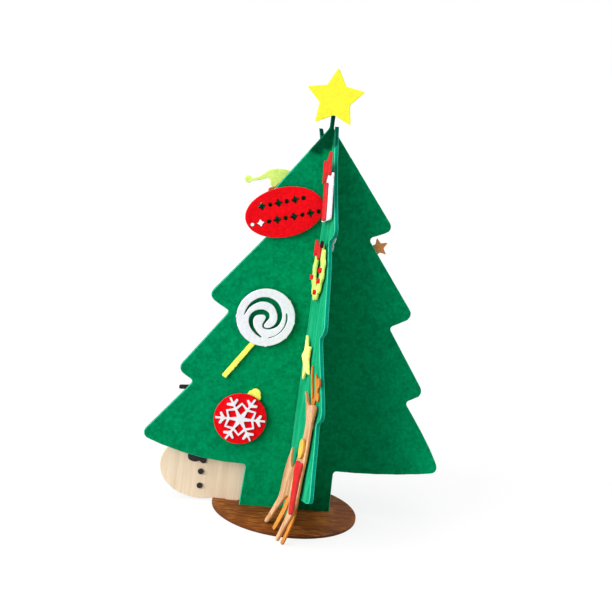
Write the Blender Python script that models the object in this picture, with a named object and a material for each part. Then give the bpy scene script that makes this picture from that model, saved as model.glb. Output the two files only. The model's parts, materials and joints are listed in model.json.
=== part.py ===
"""Felt Christmas tree.

Two four-tier felt panels cross at right angles and stand in a round wooden base. A star is glued to
the neck of the main panel. Felt ornaments, each of a few glued layers, hold on with hook pads, and
a flat wooden snowman stands in a slot of the base behind the left wing.

World frame: the base lies on z = 0, its centre is the origin, the main panel lies in the XZ plane
and the cross panel in the YZ plane. The front is -Y.
"""

import math

import bmesh
import bpy
from mathutils import Matrix, Vector

MM = 0.001

# Sheets and fits
PANEL_THICKNESS = 3.0 * MM
ORNAMENT_THICKNESS = 1.8 * MM
PAD_THICKNESS = 1.0 * MM
FIT_GAP = 0.3 * MM
CUT_TOLERANCE = 0.0003 * MM

# Base
BASE_RADIUS = 58.0 * MM
BASE_THICKNESS = 2.0 * MM

# Tree outline, heights above the table
TRUNK_FOOT_HALF_WIDTH = 36.6 * MM
TRUNK_TOP_HALF_WIDTH = 35.2 * MM
TRUNK_HEIGHT = 36.2 * MM
TIER_HALF_WIDTHS = [117.0 * MM, 95.5 * MM, 78.4 * MM, 52.4 * MM]
TIER_HEIGHTS = [54.5 * MM, 109.4 * MM, 169.4 * MM, 235.6 * MM]
NOTCH_HALF_WIDTHS = [83.5 * MM, 62.4 * MM, 35.9 * MM]
NOTCH_HEIGHTS = [100.3 * MM, 158.4 * MM, 226.3 * MM]
APEX_HEIGHT = 307.4 * MM
TIP_RADIUS = 5.0 * MM
NOTCH_RADIUS = 2.5 * MM
NECK_HALF_WIDTH = 1.5 * MM
NECK_LENGTH = 18.6 * MM
FRONT_PEAK_RISE = 3.0 * MM
CROSSING_HEIGHT = 150.0 * MM
UNDERSIDE_BOW_SHARES = [0.055, 0.04, 0.04, 0.04]
PEAK_SHIFT = -3.6 * MM

# The right wing's lowest tier curls to the front, the rear peak bends to the left, and the front
# wing waves to the right between its tiers
CURL_DEPTH = 28.0 * MM
CURL_START = 38.0 * MM
CURL_TOP = 166.0 * MM
CURL_CUTS = 9
FLOP_DEPTH = 11.6 * MM
FLOP_HEIGHT = 35.4 * MM
WAVE_DEPTH = 3.7 * MM
WAVE_START = 3.0 * MM
WAVE_FOOT = 52.0 * MM
WAVE_PITCH = 118.0 * MM
WAVE_CUTS = 10

# Star on the neck
STAR_RADIUS = 23.1 * MM
STAR_SHIFT = -4.3 * MM
STAR_RISE = 20.1 * MM
STAR_TURN = math.radians(1.5)
STAR_THICKNESS = 2.5 * MM
STAR_TIP_RADIUS = 0.8 * MM
FAT_STAR_SHARE = 0.52

# Oval sign on the left wing, with two rows of cut-outs
SIGN_CENTRE = (-31.1 * MM, 239.2 * MM)
SIGN_HALF_LENGTH = 30.1 * MM
SIGN_HALF_HEIGHT = 18.9 * MM
SIGN_TURN = math.radians(18.0)
SIGN_STAR_RADIUS = 3.3 * MM
SIGN_DOT_RADIUS = 1.6 * MM
SIGN_ROW_PITCH = 6.4 * MM
SIGN_ROW_HEIGHTS = [7.9 * MM, -4.4 * MM]
SIGN_ROW_COUNTS = [6, 9]

# Lollipop on the left wing
LOLLIPOP_CENTRE = (-35.0 * MM, 156.9 * MM)
LOLLIPOP_RADIUS = 22.6 * MM
LOLLIPOP_TURN = math.radians(7.9)
STICK_WIDTH = 3.9 * MM
STICK_LENGTH = 39.5 * MM
STICK_TURN = math.radians(-33.8)
STICK_OFFSET = 6.1 * MM
STICK_OVERLAP = 5.5 * MM

# Bauble on the left wing
BAUBLE_CENTRE = (-44.7 * MM, 74.2 * MM)
BAUBLE_RADIUS = 20.6 * MM
BAUBLE_FLAKE_RADIUS = 19.6 * MM
FLAKE_BAR_WIDTH = 1.5 * MM
CAP_TURN = math.radians(-25.0)
CAP_WIDTH = 10.5 * MM
CAP_LOOP_RADIUS = 4.0 * MM
CAP_RISE = 2.6 * MM
CAP_OVERLAP = 5.0 * MM

# Gift on the left face of the front wing: places are (distance from the axis, height)
GIFT_CENTRE = (27.5 * MM, 257.0 * MM)
GIFT_WIDTH = 30.5 * MM
GIFT_HEIGHT = 34.5 * MM
GIFT_CORNER_RADIUS = 2.0 * MM
GIFT_TURN = math.radians(14.0)
GIFT_RIBBON_WIDTH = 9.0 * MM
GIFT_BOW_HALF_WIDTH = 14.0 * MM
GIFT_BOW_HALF_HEIGHT = 9.0 * MM
GIFT_BOW_DROP_SHARE = 0.75
GIFT_BOW_TURN = math.radians(24.0)

# Wreath on the left face of the front wing
WREATH_CENTRE = (30.0 * MM, 201.2 * MM)
WREATH_RADIUS = 20.6 * MM
WREATH_HOLE_RADIUS = 11.0 * MM
WREATH_LEAVES = 12
WREATH_LEAF_SHARE = 0.06
WREATH_BOW_HALF_WIDTH = 9.8 * MM
WREATH_BOW_HALF_HEIGHT = 6.2 * MM
WREATH_BOW_PLACE = (-5.5 * MM, 15.8 * MM)
WREATH_KNOT_RADIUS = 2.7 * MM
WREATH_KNOT_PLACE = (7.4 * MM, 22.3 * MM)
BERRY_RADIUS = 2.1 * MM
BERRY_DEGREES = [16.0, -13.0, -61.0, 206.0]

# Yellow star on the left face of the front wing
YELLOW_STAR_CENTRE = (29.6 * MM, 134.4 * MM)
YELLOW_STAR_RADIUS = 18.2 * MM
YELLOW_STAR_TURN = math.radians(26.0)
SLIM_STAR_SHARE = 0.46

# Reindeer on the left face of the front wing: it stands on the table and leans on the wing
REINDEER_START = 31.0 * MM
REINDEER_LENGTH = 66.0 * MM
REINDEER_HEIGHT = 135.5 * MM
REINDEER_BACK_THICKNESS = 1.2 * MM
REINDEER_REAR_LIFT = 6.2 * MM
REINDEER_LIFT_TOP = 76.0 * MM
REINDEER_LIFT_HEIGHT = 50.0 * MM
REINDEER_LEG_SPREAD = 9.0 * MM
REINDEER_FORE_SPREAD_LOSS_SHARE = 0.85
REINDEER_LEG_TOP = 30.0 * MM
REINDEER_CUT_PITCH = 8.0 * MM
REINDEER_BELL_RADIUS = 7.6 * MM

# White snowflake on the right face of the front wing
FLAKE_CENTRE = (-24.5 * MM, 228.5 * MM)
FLAKE_RADIUS = 12.0 * MM
FLAKE_THICKNESS = 1.2 * MM

# Elf on the back of the left wing, seen from behind
ELF_CENTRE = (30.0 * MM, 247.8 * MM)
ELF_HEAD_RADIUS = 11.0 * MM
ELF_POMPOM_RADIUS = 3.0 * MM
ELF_NOSE_RADIUS = 2.2 * MM

# Small brown star on the back of the right wing, seen from behind
BROWN_STAR_CENTRE = (-45.9 * MM, 219.2 * MM)
BROWN_STAR_RADIUS = 7.9 * MM
BROWN_STAR_TURN = math.radians(-18.0)

# Wooden snowman in its slot behind the left wing
SNOWMAN_THICKNESS = 3.0 * MM
SNOWMAN_DEPTH = 9.0 * MM
SNOWMAN_BODY_CENTRE = (-67.5 * MM, 28.0 * MM)
SNOWMAN_BODY_RADII = (34.5 * MM, 26.8 * MM)
SNOWMAN_HEAD_CENTRE = (-71.0 * MM, 72.5 * MM)
SNOWMAN_HEAD_RADIUS = 21.5 * MM
SNOWMAN_TAB_CENTRE = -41.6 * MM
SNOWMAN_TAB_WIDTH = 9.6 * MM
SNOWMAN_FOOT_LEFT = -55.0 * MM
SNOWMAN_TRIM_THICKNESS = 1.0 * MM
SNOWMAN_LEAN = math.radians(4.7)
SNOWMAN_BRIM_HALF_WIDTH = 21.4 * MM
SNOWMAN_BRIM_THICKNESS = 3.4 * MM
SNOWMAN_BRIM_RISE = 23.2 * MM
SNOWMAN_CROWN_HALF_WIDTH = 11.5 * MM
SNOWMAN_CROWN_HEIGHT = 17.0 * MM
SNOWMAN_BUTTON_RADIUS = 2.5 * MM
SNOWMAN_BUTTON_CENTRES = [(-69.0 * MM, 12.1 * MM), (-69.4 * MM, 24.0 * MM)]
SNOWMAN_EYE_RADIUS = 1.8 * MM
SNOWMAN_EYE_SPACING = 14.0 * MM
SNOWMAN_NOSE_LENGTH = 13.0 * MM
SNOWMAN_NOSE_RADIUS = 2.4 * MM

# Hook pads
PAD_RADIUS = 5.0 * MM
SMALL_PAD_RADIUS = 3.0 * MM

# Roundness of arcs, in steps
ARC_STEPS = 5
CIRCLE_STEPS = 40
SMALL_CIRCLE_STEPS = 16
CURVE_STEPS = 3

# Lollipop swirl, from its outer end through the middle to its inner end:
# (right, up, half width) as shares of the lollipop's radius
SWIRL_SHARES = [
    (-0.73, 0.13, 0.020), (-0.63, 0.32, 0.036), (-0.46, 0.50, 0.060), (-0.18, 0.63, 0.080),
    (0.13, 0.60, 0.090), (0.38, 0.40, 0.092), (0.48, 0.04, 0.086), (0.38, -0.26, 0.066),
    (0.13, -0.39, 0.032), (-0.06, -0.36, 0.026), (-0.10, -0.25, 0.030), (-0.01, -0.12, 0.045),
    (0.07, 0.01, 0.066), (0.01, 0.15, 0.085), (-0.17, 0.20, 0.095), (-0.38, 0.15, 0.090),
    (-0.50, -0.02, 0.082), (-0.49, -0.26, 0.066), (-0.35, -0.51, 0.045), (-0.14, -0.70, 0.022),
]
# Slit near the lollipop's rim: (angle in degrees, half width share)
SLIT_RADIUS_SHARE = 0.72
SLIT_SHARES = [
    (11, 0.022), (-4, 0.030), (-20, 0.026), (-38, 0.018), (-56, 0.014), (-72, 0.014), (-86, 0.020),
]

# Faces of the front wing: 1 for the left one, -1 for the right one
WAVING_FACES = {"cross_left_face": 1.0, "cross_right_face": -1.0}

# Snowflake: shares of its radius
FLAKE_BRANCH_ROOT_SHARE = 0.62
FLAKE_BRANCH_TIP_SHARE = 0.84
FLAKE_BRANCH_ANGLE = math.radians(15.0)
FLAKE_RING_ROOT_SHARE = 0.45
FLAKE_RING_TIP_SHARE = 0.70
FLAKE_HOLE_INNER_SHARE = 0.17

# Bow, a right-hand half: (share of half width, share of half height)
BOW_SHARES = [
    (0.10, -0.42), (0.45, -0.78), (0.82, -1.0), (1.0, -0.72), (0.96, 0.0), (1.0, 0.72), (0.82, 1.0),
    (0.45, 0.78), (0.10, 0.42),
]

# Reindeer outlines: (share of its length from the rump, share of its height)
HIND_FOOT_SHARE = BASE_THICKNESS / REINDEER_HEIGHT
REINDEER_BODY_SHARES = [
    (0.10, 0.485), (0.15, 0.45), (0.22, 0.415), (0.34, 0.405), (0.45, 0.44), (0.49, 0.50), (0.52, 0.58),
    (0.54, 0.65), (0.50, 0.71), (0.37, 0.77), (0.215, 0.83), (0.29, 0.83), (0.40, 0.802), (0.52, 0.80),
    (0.67, 0.822), (0.82, 0.842), (0.865, 0.82), (0.83, 0.77), (0.80, 0.73), (0.83, 0.67), (0.87, 0.60),
    (0.91, 0.52),
    (0.90, 0.40), (0.86, 0.30), (0.75, 0.20), (0.61, 0.10), (0.535, 0.0), (0.475, 0.0), (0.51, 0.10),
    (0.57, 0.20), (0.52, 0.25), (0.38, 0.245), (0.26, 0.19), (0.14, 0.10), (0.085, HIND_FOOT_SHARE),
    (0.015, HIND_FOOT_SHARE), (0.03, 0.10), (0.08, 0.19), (0.04, 0.28), (0.03, 0.36), (0.06, 0.43),
]
REINDEER_FAR_HIND_LEG_SHARES = [
    (0.26, 0.32), (0.28, 0.20), (0.24, 0.10), (0.22, HIND_FOOT_SHARE), (0.29, HIND_FOOT_SHARE),
    (0.34, 0.10), (0.42, 0.20), (0.46, 0.32),
]
REINDEER_FAR_FORE_LEG_SHARES = [
    (0.66, 0.32), (0.66, 0.20), (0.62, 0.10), (0.575, 0.0), (0.635, 0.0), (0.70, 0.10), (0.77, 0.20),
    (0.78, 0.32),
]
REINDEER_ANTLER_SHARES = [
    (0.50, 0.77), (0.45, 0.83), (0.36, 0.885), (0.275, 0.95), (0.27, 0.985), (0.32, 0.985), (0.36, 0.94),
    (0.44, 0.88), (0.515, 0.835), (0.57, 0.845), (0.60, 0.885), (0.57, 0.925), (0.54, 0.96), (0.58, 0.985),
    (0.66, 0.965), (0.74, 0.985), (0.81, 0.985), (0.83, 0.95), (0.76, 0.925), (0.745, 0.905), (0.81, 0.91),
    (0.84, 0.885), (0.80, 0.86), (0.70, 0.855), (0.64, 0.82), (0.62, 0.77),
]
REINDEER_SCARF_SHARES = [
    (0.60, 0.485), (0.66, 0.38), (0.70, 0.28), (0.72, 0.21), (0.81, 0.22), (0.85, 0.30), (0.87, 0.40),
    (0.91, 0.52), (0.75, 0.505),
]
REINDEER_BELL_SHARES = (0.69, 0.575)
REINDEER_PAD_SHARES = (0.69, 0.71)

# Elf: shares of its head's radius, from the middle of the head
ELF_HAT_SHARES = [
    (-1.15, 0.55), (-1.05, 1.25), (-0.35, 1.85), (0.55, 2.02), (1.36, 1.86), (1.95, 1.36), (2.55, 1.10),
    (2.55, 0.96), (1.85, 1.10), (1.42, 1.28), (1.20, 1.10), (1.12, 0.75), (0.0, 0.55),
]
ELF_POMPOM_SHARES = (2.72, 1.03)
ELF_HAIR_SHARES = (1.46, 1.12)
ELF_HAIR_LOCKS = 11
ELF_LOCK_SHARE = 0.06

# Snowman's scarf: shares of its head's radius, from the middle of the head
SNOWMAN_SCARF_SHARES = [
    (-0.72, -0.66), (-0.80, -0.90), (-0.38, -1.08), (-0.56, -1.42), (-0.58, -1.76), (-0.32, -1.87),
    (-0.17, -1.82), (-0.10, -1.92), (0.08, -1.90), (0.10, -1.50), (0.06, -1.10), (0.80, -0.90),
    (0.72, -0.66), (0.0, -0.82),
]


def felt(name, red, green, blue, roughness=0.95):
    """A matte Principled material; the colour is given in sRGB from 0 to 255."""
    material = bpy.data.materials.new(name)
    material.use_nodes = True
    shader = material.node_tree.nodes["Principled BSDF"]
    linear = [(channel / 255.0) ** 2.2 for channel in (red, green, blue)]
    shader.inputs["Base Color"].default_value = (*linear, 1.0)
    shader.inputs["Roughness"].default_value = roughness
    shader.inputs["Metallic"].default_value = 0.0
    return material


def circle(radius, centre=(0.0, 0.0), steps=CIRCLE_STEPS, radius_up=None):
    """Points of a circle, or of an ellipse if radius_up is given, anticlockwise."""
    up = radius if radius_up is None else radius_up
    angles = [2.0 * math.pi * step / steps for step in range(steps)]
    return [(centre[0] + radius * math.cos(a), centre[1] + up * math.sin(a)) for a in angles]


def wavy_circle(radius, waves, share, radius_up=None):
    """A circle whose radius rises and falls by a share of itself, once for each wave."""
    steps = waves * 2 * CURVE_STEPS
    up = radius if radius_up is None else radius_up
    points = []
    for step in range(steps):
        angle = 2.0 * math.pi * step / steps
        swell = 1.0 + share * math.cos(waves * angle)
        points.append((radius * swell * math.cos(angle), up * swell * math.sin(angle)))
    return points


def star(radius, inner_share, points=5, turn=0.0, centre=(0.0, 0.0)):
    """A star with one point straight up, turned anticlockwise by turn."""
    outline = []
    for step in range(2 * points):
        reach = radius if step % 2 == 0 else radius * inner_share
        angle = math.pi / 2.0 + turn + math.pi * step / points
        outline.append((centre[0] + reach * math.cos(angle), centre[1] + reach * math.sin(angle)))
    return outline


def smooth(points, steps=CURVE_STEPS, closed=True):
    """A Catmull-Rom curve through the points."""
    count = len(points)
    curve = []
    spans = count if closed else count - 1
    for i in range(spans):
        if closed:
            four = [points[(i + k) % count] for k in (-1, 0, 1, 2)]
        else:
            four = [points[min(max(i + k, 0), count - 1)] for k in (-1, 0, 1, 2)]
        for step in range(steps):
            t = step / steps
            weights = (
                (-t + 2 * t**2 - t**3) / 2, (2 - 5 * t**2 + 3 * t**3) / 2,
                (t + 4 * t**2 - 3 * t**3) / 2, (-(t**2) + t**3) / 2,
            )
            curve.append(tuple(
                sum(w * p[axis] for w, p in zip(weights, four)) for axis in range(len(points[0]))
            ))
    if not closed:
        curve.append(tuple(points[-1]))
    return curve


def scaled(shares, width, height, start=(0.0, 0.0)):
    """An outline given as shares, at its real size."""
    return [(start[0] + right * width, start[1] + up * height) for right, up in shares]


def ribbon(spine):
    """The outline of a band along a spine of (x, y, half width)."""
    left, right = [], []
    for i, (x, y, half) in enumerate(spine):
        before, after = spine[max(i - 1, 0)], spine[min(i + 1, len(spine) - 1)]
        along = Vector((after[0] - before[0], after[1] - before[1])).normalized()
        left.append((x - along.y * half, y + along.x * half))
        right.append((x + along.y * half, y - along.x * half))
    return left + right[::-1]


def rounded(corners):
    """An outline of (x, y, radius) corners, with each corner turned into an arc of its radius."""
    outline = []
    count = len(corners)
    for i, (x, y, radius) in enumerate(corners):
        corner = Vector((x, y))
        if radius == 0:
            outline.append((x, y))
            continue
        before = (Vector(corners[i - 1][:2]) - corner).normalized()
        after = (Vector(corners[(i + 1) % count][:2]) - corner).normalized()
        half_angle = before.angle(after) / 2.0
        cut = radius / math.tan(half_angle)
        centre = corner + (before + after).normalized() * radius / math.sin(half_angle)
        start, end = corner + before * cut - centre, corner + after * cut - centre
        sweep = start.angle_signed(end)
        for step in range(ARC_STEPS + 1):
            spoke = turned(start, -sweep * step / ARC_STEPS)
            outline.append((centre.x + spoke[0], centre.y + spoke[1]))
    return outline


def bowed(start, end, share):
    """Points between start and end, sagging below the straight line by a share of its length."""
    length = math.dist(start[:2], end[:2])
    points = []
    for step in range(1, ARC_STEPS):
        t = step / ARC_STEPS
        sag = 4.0 * t * (1.0 - t) * share * length
        across, up = end[0] - start[0], end[1] - start[1]
        points.append((start[0] + t * across, start[1] + t * up - sag, 0.0))
    return points


def reaching(tip, before, after, radius):
    """The corner that a tip's arc of this radius needs, for the arc to reach out to the tip."""
    corner = Vector(tip)
    towards, away = (Vector(point[:2]) - corner for point in (before, after))
    half_angle = towards.angle(away) / 2.0
    inward = (towards.normalized() + away.normalized()).normalized()
    moved = corner - inward * (radius / math.sin(half_angle) - radius)
    return (moved.x, moved.y, radius)


def wing_corners():
    """The outer edge of a wing from the foot of the trunk, on the table, to the top tier's tip."""
    corners = [(TRUNK_FOOT_HALF_WIDTH, 0.0, 0.0)]
    inner = [(TRUNK_TOP_HALF_WIDTH, TRUNK_HEIGHT, NOTCH_RADIUS)]
    inner += [(x, y, NOTCH_RADIUS) for x, y in zip(NOTCH_HALF_WIDTHS, NOTCH_HEIGHTS)]
    inner.append((0.0, APEX_HEIGHT))
    for tier, (half_width, height) in enumerate(zip(TIER_HALF_WIDTHS, TIER_HEIGHTS)):
        tip = reaching((half_width, height), inner[tier], inner[tier + 1], TIP_RADIUS)
        corners += [inner[tier], *bowed(inner[tier], tip, UNDERSIDE_BOW_SHARES[tier]), tip]
    return corners


def apex_slope_height(distance):
    """Height of the top tier's edge at a distance from the axis."""
    slope = (APEX_HEIGHT - TIER_HEIGHTS[-1]) / TIER_HALF_WIDTHS[-1]
    return APEX_HEIGHT - slope * distance


def tree_panel_outline(middle_top, middle_foot, top_shift=0.0, far_top=None):
    """A whole panel: a wing, what is on the axis at the top, the mirrored wing, and the foot.

    What is on the axis at the top is moved by top_shift, so that the peak leans. The mirrored wing
    takes far_top in its place, if it is given.
    """
    wing = middle_foot + wing_corners()
    mirrored_wing = [(-x, *rest) for x, *rest in reversed(wing)]
    peak = [(x + top_shift, *rest) for x, *rest in middle_top]
    mirrored_peak = [(top_shift - x, *rest) for x, *rest in reversed(far_top or middle_top)]
    return rounded(wing + peak + mirrored_peak + mirrored_wing)


def wing_curl(x, y):
    """How far the right wing of the main panel curls to the front, and moves inwards for it."""
    reach = TIER_HALF_WIDTHS[0] - CURL_START
    out = max(0.0, (x - CURL_START) / reach)
    low = 1.0 - (y - TIER_HEIGHTS[0]) / (CURL_TOP - TIER_HEIGHTS[0])
    depth = CURL_DEPTH * min(max(low, 0.0), 1.0) ** 1.5
    return (-2.0 / 3.0 * depth**2 / reach * out**3, depth * out**2)


def wing_wave(out, height):
    """How far the front wing stands to the right, at a distance out from the axis."""
    share = max(0.0, out - WAVE_START) / (TIER_HALF_WIDTHS[1] - WAVE_START)
    phase = 2.0 * math.pi * max(0.0, height - WAVE_FOOT) / WAVE_PITCH
    return WAVE_DEPTH * share * (1.0 - math.cos(phase)) / 2.0


def cross_bend(x, y):
    """How far the cross panel stands to the left: its waving front wing and its rear peak."""
    if x > 0.0:
        return (0.0, -wing_wave(x, y))
    share = min(max(0.0, (y - APEX_HEIGHT + FLOP_HEIGHT) / FLOP_HEIGHT), 1.0)
    return (0.0, FLOP_DEPTH * share**2 * (3.0 - 2.0 * share))


def level_cuts(outline):
    """Level cuts through an outline, so that it can follow the front wing's wave."""
    pitch = WAVE_PITCH / WAVE_CUTS
    heights = [y for x, y in outline]
    rows = range(math.ceil(min(heights) / pitch), math.floor(max(heights) / pitch) + 1)
    return [((0.0, row * pitch), (0.0, 1.0)) for row in rows]


def snowflake(radius):
    """Outline and six holes of a snowflake with an arm at each sixth of a turn, one to the right."""
    half_bar = FLAKE_BAR_WIDTH / 2.0
    branch_root, branch_tip = radius * FLAKE_BRANCH_ROOT_SHARE, radius * FLAKE_BRANCH_TIP_SHARE
    ring_root, ring_tip = radius * FLAKE_RING_ROOT_SHARE, radius * FLAKE_RING_TIP_SHARE
    tip_spread = branch_tip * math.sin(FLAKE_BRANCH_ANGLE)
    tip_reach = branch_tip * math.cos(FLAKE_BRANCH_ANGLE)
    upper_side = [
        (branch_root + 2.0 * FLAKE_BAR_WIDTH, half_bar),
        (tip_reach + half_bar, tip_spread),
        (tip_reach - half_bar, tip_spread + half_bar),
        (branch_root, half_bar),
        (ring_root + FLAKE_BAR_WIDTH, half_bar),
    ]
    arm = [(x, -y) for x, y in reversed(upper_side)]
    arm += [(radius, -half_bar), (radius, half_bar)] + upper_side
    sixth = math.pi / 3.0
    tip = (ring_tip * math.cos(sixth / 2.0), ring_tip * math.sin(sixth / 2.0))
    hole_inner = radius * FLAKE_HOLE_INNER_SHARE
    hole_outer = ring_tip - 2.0 * FLAKE_BAR_WIDTH / math.sqrt(3.0)
    hole_middle = (hole_inner + hole_outer) / 2.0
    hole_half = hole_middle * math.tan(sixth / 2.0) - half_bar / math.cos(sixth / 2.0)
    hole = [(hole_inner, 0.0), (hole_middle, -hole_half), (hole_outer, 0.0), (hole_middle, hole_half)]
    outline, holes = [], []
    for step in range(6):
        outline += [turned(point, sixth * step) for point in arm + [tip]]
        holes.append([turned(point, sixth * (step + 0.5)) for point in hole])
    return outline, holes


def plate_mesh(name, outlines, thickness, cuts=(), cut_range=None, bend=None):
    """A closed flat mesh: outlines, the holes among them, filled at z = 0 and raised to thickness.

    Each cut, a (point, normal) in the sheet, adds edges in the faces with a corner where cut_range,
    a function of (x, y), holds. Then bend, a function of (x, y) that gives the moves along x and
    outwards, can bend the plate.
    """
    mesh_data = bmesh.new()
    for outline in outlines:
        corners = [mesh_data.verts.new((x, y, 0.0)) for x, y in outline]
        for i, corner in enumerate(corners):
            mesh_data.edges.new((corner, corners[(i + 1) % len(corners)]))
    bmesh.ops.triangle_fill(mesh_data, edges=mesh_data.edges[:], use_beauty=True)
    for point, normal in cuts:
        faces = mesh_data.faces[:]
        if cut_range:
            faces = [f for f in faces if any(cut_range(v.co.x, v.co.y) for v in f.verts)]
        edges = {edge for f in faces for edge in f.edges}
        verts = {vert for f in faces for vert in f.verts}
        bmesh.ops.bisect_plane(
            mesh_data, geom=[*verts, *edges, *faces], dist=CUT_TOLERANCE,
            plane_co=(*point, 0.0), plane_no=(*normal, 0.0),
        )
    raised = bmesh.ops.extrude_face_region(mesh_data, geom=mesh_data.faces[:])
    top = [item for item in raised["geom"] if isinstance(item, bmesh.types.BMVert)]
    bmesh.ops.translate(mesh_data, verts=top, vec=(0.0, 0.0, thickness))
    if bend:
        for vertex in mesh_data.verts:
            across, outward = bend(vertex.co.x, vertex.co.y)
            vertex.co.x += across
            vertex.co.z += outward
    bmesh.ops.triangulate(mesh_data, faces=mesh_data.faces[:])
    bmesh.ops.recalc_face_normals(mesh_data, faces=mesh_data.faces[:])
    mesh = bpy.data.meshes.new(name)
    mesh_data.to_mesh(mesh)
    mesh_data.free()
    return mesh


def add_plate(
    name, outlines, thickness, material, holder=None, place=(0.0, 0.0), depth=0.0, turn=0.0, **shaping
):
    """An object from plate_mesh, placed in its holder: place in the sheet, depth above it, turn in it.

    On a face of the front wing it follows the wing's wave, unless it is shaped otherwise.
    """
    facing = WAVING_FACES.get(holder.name, 0.0) if holder else 0.0

    def follow(x, y):
        across, up = offset(place, (x, y), turn)
        return (0.0, -facing * wing_wave(facing * across, up))

    if facing and not shaping:
        shaping = {"cuts": level_cuts(outlines[0]), "bend": follow}
    mesh = plate_mesh(name, outlines, thickness, **shaping)
    mesh.materials.append(material)
    plate = bpy.data.objects.new(name, mesh)
    bpy.context.scene.collection.objects.link(plate)
    plate.parent = holder
    plate.location = (place[0], place[1], depth)
    plate.rotation_euler = (0.0, 0.0, turn)
    return plate


def add_holder(name, right, outward):
    """An empty whose x axis points right along a sheet, y up and z out of the sheet's face."""
    holder = bpy.data.objects.new(name, None)
    bpy.context.scene.collection.objects.link(holder)
    up = Vector((0.0, 0.0, 1.0))
    axes = Matrix((right, up, outward)).transposed()
    holder.rotation_euler = axes.to_euler()
    holder.location = outward * PANEL_THICKNESS / 2.0
    return holder


def layer(index):
    """Distance from a panel's face to the inner face of an ornament layer that lies on felt layers."""
    return FIT_GAP + index * (ORNAMENT_THICKNESS + FIT_GAP)


def over_pad():
    """Distance from a panel's face to an ornament that lies on its thin hook pad."""
    return PAD_THICKNESS + 2.0 * FIT_GAP


def add_pad(name, holder, place, material, radius=PAD_RADIUS, thickness=PAD_THICKNESS):
    """A round hook pad between a panel and an ornament."""
    outline = circle(radius, steps=SMALL_CIRCLE_STEPS)
    return add_plate(name, [outline], thickness, material, holder, place, FIT_GAP)


def turned(point, turn):
    """A point turned anticlockwise about the origin."""
    cosine, sine = math.cos(turn), math.sin(turn)
    return (point[0] * cosine - point[1] * sine, point[0] * sine + point[1] * cosine)


def offset(place, point, turn=0.0):
    """A point of an ornament's own frame, in the frame of its sheet."""
    moved = turned(point, turn)
    return (place[0] + moved[0], place[1] + moved[1])


def build_base(brown):
    """The round base with its cross-shaped slot and the snowman's slot."""
    reach = TRUNK_FOOT_HALF_WIDTH + FIT_GAP
    half = PANEL_THICKNESS / 2.0 + FIT_GAP
    cross = [
        (reach, half), (half, half), (half, reach), (-half, reach), (-half, half), (-reach, half),
        (-reach, -half), (-half, -half), (-half, -reach), (half, -reach), (half, -half), (reach, -half),
    ]
    tab_half = SNOWMAN_TAB_WIDTH / 2.0 + FIT_GAP
    slot_half = SNOWMAN_THICKNESS / 2.0 + FIT_GAP
    slot = [
        (SNOWMAN_TAB_CENTRE - tab_half, SNOWMAN_DEPTH - slot_half),
        (SNOWMAN_TAB_CENTRE + tab_half, SNOWMAN_DEPTH - slot_half),
        (SNOWMAN_TAB_CENTRE + tab_half, SNOWMAN_DEPTH + slot_half),
        (SNOWMAN_TAB_CENTRE - tab_half, SNOWMAN_DEPTH + slot_half),
    ]
    rim = circle(BASE_RADIUS, steps=2 * CIRCLE_STEPS)
    return add_plate("base_disc", [rim, cross, slot], BASE_THICKNESS, brown)


def build_panels(green, face, side):
    """The main panel with its neck and lower slot, and the cross panel with its upper slot."""
    slot_half = PANEL_THICKNESS / 2.0 + FIT_GAP
    slot_top = CROSSING_HEIGHT + FIT_GAP
    neck = [
        (NECK_HALF_WIDTH, apex_slope_height(NECK_HALF_WIDTH), 0.0),
        (NECK_HALF_WIDTH, APEX_HEIGHT + NECK_LENGTH, 0.0),
    ]
    lower_slot = [(slot_half, slot_top, 0.0), (slot_half, 0.0, 0.0)]
    rear_top, slot_foot = apex_slope_height(slot_half), (slot_half, CROSSING_HEIGHT, 0.0)
    front_slot = [(slot_half, rear_top + FRONT_PEAK_RISE, 0.0), slot_foot]
    rear_slot = [(slot_half, rear_top, 0.0), slot_foot]
    main = tree_panel_outline(neck, lower_slot, PEAK_SHIFT)
    cross = tree_panel_outline(front_slot, [], far_top=rear_slot)
    reach = TIER_HALF_WIDTHS[0] - CURL_START
    curl_cuts = [((CURL_START + reach * i / CURL_CUTS, 0.0), (1.0, 0.0)) for i in range(CURL_CUTS)]
    rise = CURL_TOP - TRUNK_HEIGHT
    curl_cuts += [
        ((0.0, TRUNK_HEIGHT + rise * i / CURL_CUTS), (0.0, 1.0)) for i in range(1, CURL_CUTS + 1)
    ]
    add_plate(
        "main_panel", [main], PANEL_THICKNESS, green, face, depth=-PANEL_THICKNESS, cuts=curl_cuts,
        cut_range=lambda x, y: x > CURL_START + FIT_GAP and y < CURL_TOP, bend=wing_curl,
    )
    cross_cuts = [((WAVE_START, 0.0), (1.0, 0.0))] + level_cuts(cross)
    add_plate(
        "cross_panel", [cross], PANEL_THICKNESS, green, side, depth=-PANEL_THICKNESS, cuts=cross_cuts,
        cut_range=lambda x, y: x > slot_half or (x < 0.0 and y > APEX_HEIGHT - FLOP_HEIGHT), bend=cross_bend,
    )


def build_star(yellow, face):
    """The star in front of the neck."""
    corners = [
        (x, y, STAR_TIP_RADIUS if i % 2 == 0 else 0.0)
        for i, (x, y) in enumerate(star(STAR_RADIUS, FAT_STAR_SHARE))
    ]
    outline = rounded(corners)
    centre = (STAR_SHIFT, APEX_HEIGHT + STAR_RISE)
    add_plate("star_topper", [outline], STAR_THICKNESS, yellow, face, centre, FIT_GAP, STAR_TURN)


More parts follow.
